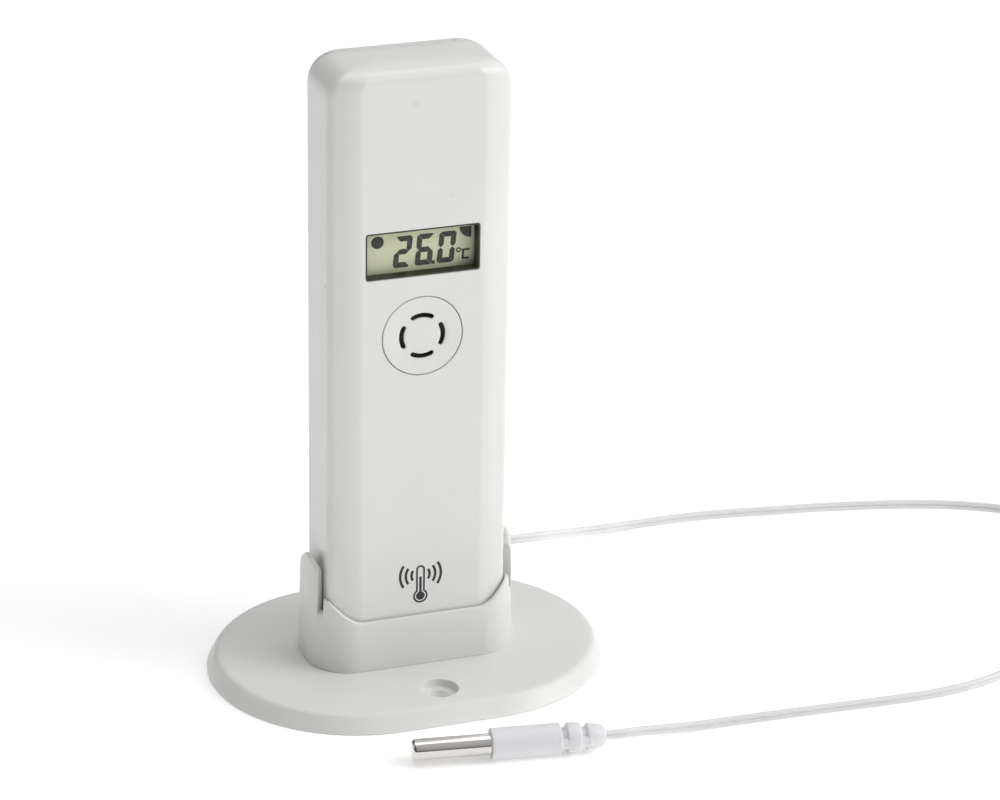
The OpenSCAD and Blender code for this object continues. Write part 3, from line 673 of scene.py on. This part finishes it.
def make_front():
    """Front cover: a shell with a fine groove along the parting line, its bosses, window and vent."""
    front = common(case_body(), box((-50, -60, -10), (50, SEAM_Y, 180)))
    groove = without(box((-50, SEAM_Y - GROOVE_W, -10), (50, SEAM_Y + 1, 180)), case_body(GROOVE_T))
    without(front, case_body(WALL))
    without(front, groove)
    bosses = [rod(x, z, 2.9, FRONT_IN - 0.5, SEAM_Y, 32) for x, z in SCREWS]
    bosses += [rod(x, z, 2.0, FRONT_IN - 0.5, -3.2, 32) for x, z in BOARD_SCREWS]
    core = case_body(0.4)
    bosses = [common(b, copy_of(core)) for b in bosses]
    bpy.data.objects.remove(core)
    joined(front, *bosses)
    return without(
        front,
        prism(rounded_rect(WINDOW_W, WINDOW_H, 0.55, at=(0, WINDOW_Z)), -30, 0, "y"),
        rod(0, VENT_Z, VENT_R, -30, -CASE_HD + 1, 96),
        rod(0, VENT_Z, VENT_R - 1.4, -30, 0, 64),
        *[rod(x, z, 0.9, -4, 20, 20) for x, z in SCREWS],
        *[rod(x, z, 0.7, -6.5, 20, 20) for x, z in BOARD_SCREWS],
        outlet_bore())


def copy_of(obj):
    twin = bpy.data.objects.new(obj.name, obj.data.copy())
    bpy.context.collection.objects.link(twin)
    return twin


BAY_Z0, BAY_Z1, BAY_R, BAY_WALL = 16.6, 71.0, 7.6, 0.7
CELL_X, CELL_Y = 7.45, 0.6
CELL_Z0, CELL_R, CELL_H = 19.9, 7.15, 50.3
DOOR_W, DOOR_Z0, DOOR_Z1, DOOR_T, DOOR_GAP = 31.4, 16.3, 81.6, 1.4, 0.3
HINGE_Y, HINGE_Z, HINGE_R = 8.8, 17.0, 0.5
SHELF_Y = 5.6
KEY_X, KEY_Z, DIAL_X = -7.0, 77.0, 6.0


def make_rear():
    rear = common(case_body(), box((-50, SEAM_Y, -10), (50, 60, 180)))
    without(rear, common(case_body(WALL + 0.3), box((-50, SEAM_Y - WALL - 0.1, -10), (50, 60, 180))))
    back_in = CASE_HD - WALL + 0.1
    joined(rear,
           *[rod(x, z, 2.9, SEAM_Y, CASE_HD - 0.6, 32) for x, z in SCREWS],
           *[post(s * CELL_X, CELL_Y, BAY_R + BAY_WALL, BAY_Z0 - BAY_WALL, BAY_Z1 + BAY_WALL, 64)
             for s in (-1, 1)],
           box((-15.9, CELL_Y, BAY_Z0 - BAY_WALL), (15.9, back_in, BAY_Z1 + BAY_WALL)),
           box((-15.9, SHELF_Y, BAY_Z1), (15.9, SHELF_Y + 1.2, 84)),
           box((-15.9, SHELF_Y, 82.8), (15.9, back_in, 84)),
           box((-17, SHELF_Y + 1, DOOR_Z0 - 2), (17, back_in, DOOR_Z0 - 0.6)))
    inner = DOOR_W + 2 * DOOR_GAP
    return without(
        rear,
        *[post(s * CELL_X, CELL_Y, BAY_R, BAY_Z0, BAY_Z1, 64) for s in (-1, 1)],
        box((-15.1, CELL_Y, BAY_Z0), (15.1, 20, BAY_Z1)),
        box((-15.1, SHELF_Y + 1.2, BAY_Z0 + 0.01), (15.1, 20.1, 80.8)),
        prism(rounded_rect(inner, DOOR_Z1 - DOOR_Z0 + DOOR_GAP + 0.6, 0.8,
                           at=(0, (DOOR_Z1 + DOOR_Z0 + DOOR_GAP - 0.6) / 2)),
              CASE_HD - DOOR_T - 0.5, 20.2, "y"),
        prism(circle(HINGE_R + 0.15, 20, (HINGE_Y, HINGE_Z)), -17, 17, "x"),
        prism(circle(6, 64, (CASE_HD + 4.6, DOOR_Z1 + 1)), -5, 5, "x"),
        *[rod(x, z, 1.2, 0, 20.3, 24) for x, z in SCREWS],
        *[rod(x, z, 2.3, CASE_HD - 1.6, 20.4, 40) for x, z in SCREWS],
        rod(KEY_X, KEY_Z, 1.6, 0, 20.5, 40),
        prism(rounded_rect(6.4, 2.2, 0.4, at=(DIAL_X, KEY_Z)), 0, 20.6, "y"),
        outlet_bore())


def make_door():
    inside = CASE_HD - DOOR_T
    door = prism(rounded_rect(DOOR_W, DOOR_Z1 - DOOR_Z0, 0.6, at=(0, (DOOR_Z0 + DOOR_Z1) / 2)),
                 inside, CASE_HD, "y")
    stubs = [prism(circle(HINGE_R, 24, (HINGE_Y, HINGE_Z)), *ends, "x")
             for ends in ((-DOOR_W / 2 - 0.9, -DOOR_W / 2 + 0.5), (DOOR_W / 2 - 0.5, DOOR_W / 2 + 0.9))]
    joined(door, box((-0.4, inside - 1, 30), (0.4, inside + 0.1, 64)), *stubs)
    return without(door, *[prism(rounded_rect(16, 0.7, 0.3, at=(0, 70.35 + 1.6 * i)),
                                 CASE_HD - 0.4, CASE_HD + 1, "y") for i in range(6)])


finish_piece(make_front(), "case_front", "transmitter", WHITE, ["front_cover"], width=0.16)
finish_piece(make_rear(), "case_rear", "transmitter", WHITE, ["rear_cover"], width=0.16)
finish_piece(make_door(), "cell_door", "battery_door", WHITE, ["battery_door"], width=0.16)


# ---- holder ----

PLATE_W, PLATE_D, PLATE_T = 82.4, 61.8, 3.9
HOLE_Y = 22.0
CUP_SCREWS = ((-20.3, 2.2), (20.3, -2.2))
OVAL_HW, OVAL_HD, OVAL_R = 22.0, 10.85, 9.0
WALL_TOP, EAR_TOP, EAR_LOW = 14.8, 27.4, 19.2
FIT_GAP = 0.25


def stadium(w, d):
    n = 40  # steps in each round end
    r, reach = d / 2, (w - d) / 2
    return [(s * reach + r * math.cos(math.radians(a0 + 180 * k / n)),
             r * math.sin(math.radians(a0 + 180 * k / n)))
            for s, a0 in ((1, -90), (-1, 90)) for k in range(n + 1)]


def make_plate():
    rim = [(0.12, 0), (0, 0.12), (0, 0.6), (0.22, 1.0), (0.62, 1.75), (1.02, 2.5), (1.3, 3.05), (1.55, 3.4),
           (1.85, 3.65), (2.2, 3.81), (2.6, 3.88), (3.1, 3.9)]
    plate = loft("plate", [[(x, y, z) for x, y in stadium(PLATE_W - 2 * inset, PLATE_D - 2 * inset)]
                           for inset, z in rim])
    hollow = prism(rounded_rect(PLATE_W - 9, PLATE_D - 9, 25, 16), -0.5, 1.2)
    without(hollow,
            *[post(0, s * HOLE_Y, 5.2, -1, 4) for s in (-1, 1)],
            *[post(x, y, 3, -1, 4) for x, y in CUP_SCREWS],
            *[box((x - 0.6, -40, -1), (x + 0.6, 40, 4)) for x in range(-24, 25, 12)],
            box((-50, -0.6, -1.1), (50, 0.6, 4.1)))
    without(plate, hollow, prism(case_outline(FIT_GAP, FIT_GAP), FOOT_Z, 8),
            *[post(0, s * HOLE_Y, 2.1, -1, 6) for s in (-1, 1)],
            *[post(0, s * HOLE_Y, 3.9, PLATE_T - 1.6, 7, 64) for s in (-1, 1)],
            *[post(x, y, 0.8, -1, 6, 24) for x, y in CUP_SCREWS],
            *[post(x, y, 1.7, -1, 1.2, 32) for x, y in CUP_SCREWS])
    return plate


def smooth(t):
    t = min(1.0, max(0.0, t))
    return t * t * (3 - 2 * t)


def hit(origin, way, outline):
    """Where a ray from outside first meets a closed outline."""
    best = None
    for i, a in enumerate(outline):
        b = outline[i - 1]
        ex, ey = b[0] - a[0], b[1] - a[1]
        det = way[0] * ey - way[1] * ex
        if abs(det) < 1e-9:
            continue
        t = ((a[0] - origin[0]) * ey - (a[1] - origin[1]) * ex) / det
        u = ((a[0] - origin[0]) * way[1] - (a[1] - origin[1]) * way[0]) / det
        if -1e-6 <= u <= 1 + 1e-6 and t > 0 and (best is None or t < best):
            best = t
    return best


SLIT_ANGLE, SLIT_W, SLIT_Z = -33.5, 1.7, 16.4
CREST_Y, EAR_FRONT_Y, EAR_REAR_Y = -2.0, -6.4, 5.5
WALL_CLIMB, CLIMB_X = 4.6, (12, 18.9)
LEAN, LEAN_FROM, DRAFT = 1.1, 18, 0.5
NOTCH_Y, NOTCH_Z = 3.6, 18.8


def rim_height(x, y, angle, s):
    """Height of the holder's rim, at the middle of the wall. angle is the place on the front corner."""
    if y > 0 and abs(x) < 19.3:
        top = EAR_LOW - (EAR_LOW - WALL_TOP) * smooth((19.3 - abs(x)) / 2.9)
    elif angle is not None and angle < SLIT_ANGLE:
        climb = min(1.0, max(0.0, (abs(x) - CLIMB_X[0]) / (CLIMB_X[1] - CLIMB_X[0])))
        top = WALL_TOP + WALL_CLIMB * (1 - math.cos(math.pi / 2 * climb))
    else:
        share = (y - CREST_Y) / (CREST_Y - EAR_FRONT_Y if y < CREST_Y else EAR_REAR_Y - CREST_Y)
        top = EAR_LOW + (EAR_TOP - EAR_LOW) * math.sqrt(max(0.0, 1 - share ** 2))
    if angle is not None and abs(angle - SLIT_ANGLE) * math.radians(OVAL_R) < SLIT_W / 2:
        top = SLIT_Z
    if s > 0 and y > NOTCH_Y:
        top = min(top, NOTCH_Z)
    return top


def make_cup():
    """The oval wall as one band: drafted outside, rounded rim that climbs to the ears, leaning inside."""
    cx, cy = OVAL_HW - OVAL_R, OVAL_HD - OVAL_R
    stations = [(x, -OVAL_HD, -90.0, -90.0) for x in (1.5, 4.5, 7.5, 9.5, 10.7, 11.6, 12.3)]
    half_slit = math.degrees(SLIT_W / 2 / OVAL_R)
    turns = [1.25 * k for k in range(-72, 0) if abs(1.25 * k - SLIT_ANGLE) > half_slit + 0.9]
    turns += [SLIT_ANGLE + side * (half_slit + step) for side in (-1, 1) for step in (-0.1, 0.1, 0.8)]
    turns += [SLIT_ANGLE]
    stations += [(cx + OVAL_R * math.cos(math.radians(a)), -cy + OVAL_R * math.sin(math.radians(a)), a, a)
                 for a in sorted(turns)]
    stations += [(OVAL_HW, y, 0.0, None) for y in (cy * (k / 5 - 1) for k in range(1, 10))]
    stations += [(cx + OVAL_R * math.cos(math.radians(a)), cy + OVAL_R * math.sin(math.radians(a)), a, None)
                 for a in (1.5 * k for k in range(0, 61))]
    stations += [(x, OVAL_HD, 90.0, None) for x in (12.3, 10, 7, 4, 1.5)]
    inner = case_outline(FIT_GAP, FIT_GAP)
    rings = []
    for s in (1, -1):
        row = []
        for x, y, turn, angle in stations:
            share = abs(turn) / 90
            if turn < 0:
                turn = -90 * (share + 0.28 * math.sin(math.pi * share))
            way = (math.cos(math.radians(turn)), math.sin(math.radians(turn)))
            thick = hit((x, y), (-way[0], -way[1]), inner)
            side = smooth((way[0] - 0.55) / 0.35)
            top = rim_height(x - way[0] * thick / 2, y - way[1] * thick / 2, angle, s)
            draft = DRAFT * (top - PLATE_T) / (EAR_TOP - PLATE_T)
            lean = LEAN * side * max(0.0, top - LEAN_FROM) / (EAR_TOP - LEAN_FROM)
            rim_wall = thick - draft - lean
            r = min(0.47 * rim_wall, 0.85)
            tall = 1.5 * r
            section = []
            for share_z in (0.0, 0.015, 0.35, 0.7):
                z = PLATE_T + (top - tall - PLATE_T) * share_z
                inset = DRAFT * (z - PLATE_T) / (EAR_TOP - PLATE_T) + (0 if share_z else 0.12)
                section.append((inset, z))
            for k in range(6):
                t = math.radians(18 * k)
                section.append((draft + r * (1 - math.cos(t)), top - tall + tall * math.sin(t)))
            for k in range(5, -1, -1):
                t = math.radians(18 * k)
                section.append((draft + rim_wall - r * (1 - math.cos(t)), top - tall + tall * math.sin(t)))
            for share_z in (0.6, 0.3, 0.0):
                z = PLATE_T + (top - tall - PLATE_T) * share_z
                section.append((thick - LEAN * side * max(0.0, z - LEAN_FROM) / (EAR_TOP - LEAN_FROM), z))
            row.append([(s * (x - way[0] * d), y - way[1] * d, z) for d, z in section])
        rings += row if s > 0 else row[::-1]
    cup = loft("cup", rings, closed=True)
    return without(cup, *[post(x, y, 0.8, 0, PLATE_T + 5, 24) for x, y in CUP_SCREWS])


finish_piece(make_plate(), "table_plate", "stand", HOLDER, ["base_plate"], width=0.18)
finish_piece(make_cup(), "holder_ears", "stand", HOLDER, ["holder_cup"], sharp=60)


# ---- display ----

GLASS_Y = -6.6


def make_bezel():
    w, h = WINDOW_W - 0.1, WINDOW_H - 0.1
    bezel = prism(rounded_rect(w, h, 0.5, at=(0, WINDOW_Z)), -CASE_HD + 0.25, GLASS_Y, "y")
    joined(bezel, prism(rounded_rect(26.8, 13.2, 0.8, at=(0, WINDOW_Z)), -7.4, -3.22, "y"))
    hole = loft("hole", [[(x, y, z) for x, z in rounded_rect(w - 2 * i, h - 2 * i, 0.4, at=(0, WINDOW_Z))]
                         for y, i in ((-30, 0.32), (-CASE_HD + 0.25, 0.32), (GLASS_Y, 0.55), (0, 0.55))])
    return without(bezel, hole, box((-12.3, -7.38, WINDOW_Z - 5.1), (12.3, 0, WINDOW_Z + 5.1)),
                   box((-12.8, GLASS_Y, WINDOW_Z - 6), (12.8, 0.1, WINDOW_Z + 6)))


def make_cell_panel():
    panel = prism(rounded_rect(25.2, 11.6, 0.2, at=(0, WINDOW_Z)), GLASS_Y + 0.05, -4.8, "y")
    return without(panel, box((-14, GLASS_Y - 1, WINDOW_Z - 7), (14, -5.7, WINDOW_Z - 5)))


SEG = 0.54
SEGMENT_GAP = 0.03
MARKS_X = 0.3
GLYPH_W, GLYPH_H, SLANT = 3.55, 6.5, 0.10
BASE_Z = 89.4
DIGITS = ((-5.65, 2), (-1.15, 6), (3.4, 0))
SEGMENT_ENDS = {
    "a": ((0, 2), (1, 2)), "b": ((1, 2), (1, 1)), "c": ((1, 1), (1, 0)), "d": ((0, 0), (1, 0)),
    "e": ((0, 1), (0, 0)), "f": ((0, 2), (0, 1)), "g": ((0, 1), (1, 1)),
}
LIT = {0: "abcdef", 2: "abged", 6: "acdefg"}


def segment(key):
    """One bar of a digit: chamfered where it ends at the digit's corner, pointed where it ends halfway up."""
    (ax, az), (bx, bz) = SEGMENT_ENDS[key]
    a = Vector((SEG + ax * (GLYPH_W - 2 * SEG), SEG + az * (GLYPH_H / 2 - SEG)))
    b = Vector((SEG + bx * (GLYPH_W - 2 * SEG), SEG + bz * (GLYPH_H / 2 - SEG)))
    along = (b - a).normalized()
    inward = Vector((-along.y, along.x)) * SEG
    if inward.dot(Vector((GLYPH_W / 2, GLYPH_H / 2)) - a) < 0:
        inward = -inward
    outline = []
    for tip, way, height in ((a, along, az), (b, -along, bz)):
        tip = tip + way * SEGMENT_GAP
        step = way * SEG
        if height == 1:
            end = [tip + step + inward, tip, tip + step - inward]
        else:
            end = [tip + step + inward, tip - 0.6 * (step + inward), tip - 0.2 * step - inward]
        outline += end if way is along else end[::-1]
    return [(p.x, p.y) for p in outline]


def plate_marks(name, outlines, y0, y1):
    """Thin printed shapes, all in one object."""
    bm = bmesh.new()
    for outline in outlines:
        front = [bm.verts.new((x, y0, z)) for x, z in outline]
        back = [bm.verts.new((x, y1, z)) for x, z in outline]
        bm.faces.new(front)
        bm.faces.new(back[::-1])
        for i in range(len(outline)):
            j = (i + 1) % len(outline)
            bm.faces.new((front[j], front[i], back[i], back[j]))
    return new_object(name, bm)


def ring_part(cx, cz, r, thick, a0, a1, n=20):
    outer = [(cx + r * math.cos(math.radians(a0 + (a1 - a0) * k / n)),
              cz + r * math.sin(math.radians(a0 + (a1 - a0) * k / n))) for k in range(n + 1)]
    inner = [(cx + (r - thick) * math.cos(math.radians(a0 + (a1 - a0) * k / n)),
              cz + (r - thick) * math.sin(math.radians(a0 + (a1 - a0) * k / n))) for k in range(n + 1)]
    return outer + inner[::-1]


def lcd_marks():
    marks = []
    for x0, digit in DIGITS:
        marks += [[(x0 + x + SLANT * z, BASE_Z + z) for x, z in segment(key)] for key in LIT[digit]]
    marks.append([(x, z) for x, z in rounded_rect(0.72, 0.72, 0.12, 3, at=(2.72, BASE_Z + 0.36))])
    marks += [ring_part(7.95, 91.75, 0.52, 0.26, 0, 180), ring_part(7.95, 91.75, 0.52, 0.26, 180, 360)]
    marks.append([(8.6, 91.9), (10.25, 91.9), (10.25, 91.5), (9.15, 91.5), (9.1, 90.1), (10.1, 90.1),
                  (10.1, 89.7), (8.65, 89.7), (8.75, 91.5), (8.6, 91.5)])
    marks.append(circle(1.28, 40, (-8.75, 95.1)))
    marks.append([(10.6, 96.5)] + [(10.6 + 2.45 * math.cos(math.radians(180 + 90 * k / 16)),
                                    96.5 + 2.3 * math.sin(math.radians(180 + 90 * k / 16)))
                                   for k in range(17)])
    marks = [[(x + MARKS_X, z) for x, z in outline] for outline in marks]
    return plate_marks("marks", marks, GLASS_Y, GLASS_Y + 0.052)


finish_piece(make_bezel(), "lcd_bezel", "transmitter", BEZEL_WITH_PAINTED_SHADE, ["display_frame"], width=0.06)
finish_piece(prism(rounded_rect(24.4, 10, 0.3, at=(0, WINDOW_Z)), -7.35, -6.75, "y"),
             "lcd_pane", "transmitter", PANE, ["display_window"], width=0.05)
finish_piece(make_cell_panel(), "lcd_panel", "transmitter", CELL, ["display_glass"],
             width=0.05)
finish_piece(lcd_marks(), "lcd_segments", "transmitter", SEGMENT)


# ---- vent and printed pictogram ----

def make_vent():
    y = -CASE_HD
    r = VENT_R - 0.2
    profile = ([(0.02, y + 0.16), (3.2, y + 0.17), (4.6, y + 0.2), (6.2, y + 0.16), (7.5, y + 0.07),
                (r - 0.35, y + 0.05)]
               + [(r - 0.2 + 0.2 * math.sin(math.radians(a)), y + 0.25 - 0.2 * math.cos(math.radians(a)))
                  for a in range(0, 91, 18)]
               + [(r, y + 0.98), (VENT_R - 1.6, y + 0.98), (VENT_R - 1.6, y + 1.9), (0.02, y + 1.9)])
    disc = lathe(profile, 96, "disc", "y", (0, VENT_Z))
    slots = []
    for i in range(4):
        mid, half, cap = 90 * i, 26.5, 0.5
        outline = [(4.8 * math.cos(math.radians(mid + a)), 4.8 * math.sin(math.radians(mid + a)))
                   for a in (half * (k / 8 - 1) for k in range(17))]
        for k in range(1, 6):
            a = math.radians(mid + half + 180 * k / 6)
            c = math.radians(mid + half)
            outline.append((4.3 * math.cos(c) + cap * math.cos(a), 4.3 * math.sin(c) + cap * math.sin(a)))
        outline += [(3.8 * math.cos(math.radians(mid - a)), 3.8 * math.sin(math.radians(mid - a)))
                    for a in (half * (k / 8 - 1) for k in range(17))]
        for k in range(1, 6):
            a = math.radians(mid - half + 180 + 180 * k / 6)
            c = math.radians(mid - half)
            outline.append((4.3 * math.cos(c) + cap * math.cos(a), 4.3 * math.sin(c) + cap * math.sin(a)))
        slots.append(prism([(x, VENT_Z + z) for x, z in outline], y - 3, y + 5, "y"))
    pocket = without(rod(0, VENT_Z, 5.6, y + 0.62, y + 5.2, 64), rod(0, VENT_Z, 3.0, y, y + 6, 64))
    return without(disc, *slots, pocket)


def pictogram():
    """A plain thermometer with radio waves on both sides."""
    foot, head, bulb = 18.7, 24.6, 1.55
    marks = [circle(bulb - 0.62, 28, (0, foot)), ring_part(0, foot, bulb, 0.38, -245, 65, 30)]
    marks += [[(s * 0.56, foot + 1.35), (s * 0.94, foot + 1.35), (s * 0.94, head), (s * 0.56, head)][::s]
              for s in (-1, 1)]
    marks.append(ring_part(0, head, 0.94, 0.38, 0, 180))
    marks.append([(-0.26, foot + 0.9), (0.26, foot + 0.9), (0.26, head - 1.6), (-0.26, head - 1.6)])
    for r in (2.2, 3.4, 4.6):
        marks += [ring_part(0, 23.4, r, 0.55, mid - 34, mid + 34) for mid in (0, 180)]
    return plate_marks("marks", marks, -CASE_HD - 0.02, -CASE_HD + 0.06)


finish_piece(make_vent(), "vent_cap", "transmitter", WHITE, ["vent_disc"], width=0.07)
finish_piece(pictogram(), "front_pictogram", "transmitter", INK)


# ---- grommet, cells and contacts ----

def make_grommet():
    x1 = 19.56
    body = lathe([(0.02, 17), (OUTLET_R - 0.05, 17), (OUTLET_R - 0.05, CASE_HW + 0.05), (2.2, CASE_HW + 0.05),
                  (2.2, x1 - 0.25), (2.1, x1 - 0.06), (1.9, x1), (0.02, x1)], 48, "grommet", "x",
                 (SEAM_Y, OUTLET_Z))
    return without(body, prism(rounded_rect(1.24, 2.24, 0.6, 8, at=(SEAM_Y, OUTLET_Z)), 16, 22, "x"))


def make_cell_can(flip):
    """A cell with its jacket, rolled edges, dished foot and nub."""
    r = CELL_R
    profile = ([(0.02, 0.25), (4.6, 0.25), (5.2, 0.05), (r - 0.5, 0.0)] + arc(r - 0.45, 0.45, 0.45, -90, 0, 4)
               + [(r, CELL_H - 1.7)] + arc(r - 0.5, CELL_H - 1.7, 0.5, 0, 90, 4)
               + [(5.6, CELL_H - 1.2), (5.5, CELL_H - 1.45), (3.1, CELL_H - 1.45), (2.75, CELL_H - 1.25),
                  (2.7, CELL_H - 0.2), (2.5, CELL_H), (0.02, CELL_H)])
    can = lathe(profile, 64, "can")
    if flip:
        can.data.transform(Matrix.Rotation(math.pi, 4, "X"))
    can.data.transform(Matrix.Translation((CELL_X, CELL_Y, BAY_Z1 - 3.3) if flip
                                          else (-CELL_X, CELL_Y, CELL_Z0)))
    return can


def make_springs():
    parts = []
    for side in (-1, 1):
        turns = [Vector((r * math.cos(math.tau * t), r * math.sin(math.tau * t), 0.42 + 0.66 * min(t, 3.3)))
                 for t, r in ((k / 24, 4.6 - 0.58 * k / 24) for k in range(88))]
        if side > 0:
            turns = [Vector((p.x, -p.y, -p.z)) for p in turns]
        base = Vector((side * CELL_X, CELL_Y, BAY_Z1 - 0.38 if side > 0 else BAY_Z0 + 0.38))
        rings = []
        for i, p in enumerate(turns):
            along = (turns[min(i + 1, len(turns) - 1)] - turns[max(i - 1, 0)]).normalized()
            out = Vector((p.x, p.y, 0)).normalized()
            up = along.cross(out)
            rings.append([base + p + (out * math.cos(a) + up * math.sin(a)) * 0.36
                          for a in (math.tau * j / 10 for j in range(10))])
        parts.append(loft("spring", rings))
    return merge(parts)


def merge(parts):
    """Several separate skins in one object."""
    bm = bmesh.new()
    for part in parts:
        bm.from_mesh(part.data)
        bpy.data.objects.remove(part)
    return new_object("merged", bm)


finish_piece(make_grommet(), "outlet_grommet", "transmitter", BOOT, ["lead_grommet"], width=0.06)
for cell_name, node_name, flip in (("cell_can_left", "cell_left", False),
                                   ("cell_can_right", "cell_right", True)):
    can = finish_piece(make_cell_can(flip), cell_name, "transmitter", JACKET, [node_name])
    can.data.materials.append(NICKEL)
    for face in can.data.polygons:
        z = face.center.z / MM
        up = (BAY_Z1 - 3.3 - z) if flip else (z - CELL_Z0)
        radius = math.hypot(face.center.x / MM - (CELL_X if flip else -CELL_X), face.center.y / MM - CELL_Y)
        if radius < 5.3 and (up < 0.6 or up > CELL_H - 1.6):
            face.material_index = 1
finish_piece(make_springs(), "coil_springs", "transmitter", NICKEL, ["contact_springs"],
             sharp=80)


# ---- materials of the CAD nodes that stay ----

def node_meshes(node):
    return [o for o in [node, *node.children_recursive] if o.type == "MESH"]


KEPT = {
    "cup_screws": ZINC, "seam_gasket": GASKET, "housing_screws": ZINC, "display_connector": ZEBRA,
    "vent_membrane": MEMBRANE, "climate_sensor": CHIP, "circuit_board": BOARD, "board_screws": ZINC,
    "controller_chip": CHIP, "radio_module": TIN, "antenna": WIRE, "crystal_can": TIN,
    "key_switch": CHIP, "slide_switch": TIN, "lead_plug": IVORY, "inner_lead": LEAD,
    "contact_plates": NICKEL, "door_seal": GASKET, "send_key": KEY_GREY, "unit_slider": CHIP,
    "probe_thermistor": CHIP,
}
for node_name, finish in KEPT.items():
    for piece in node_meshes(frame["nodes"][node_name]):
        for holder in piece.material_slots:
            holder.material = finish
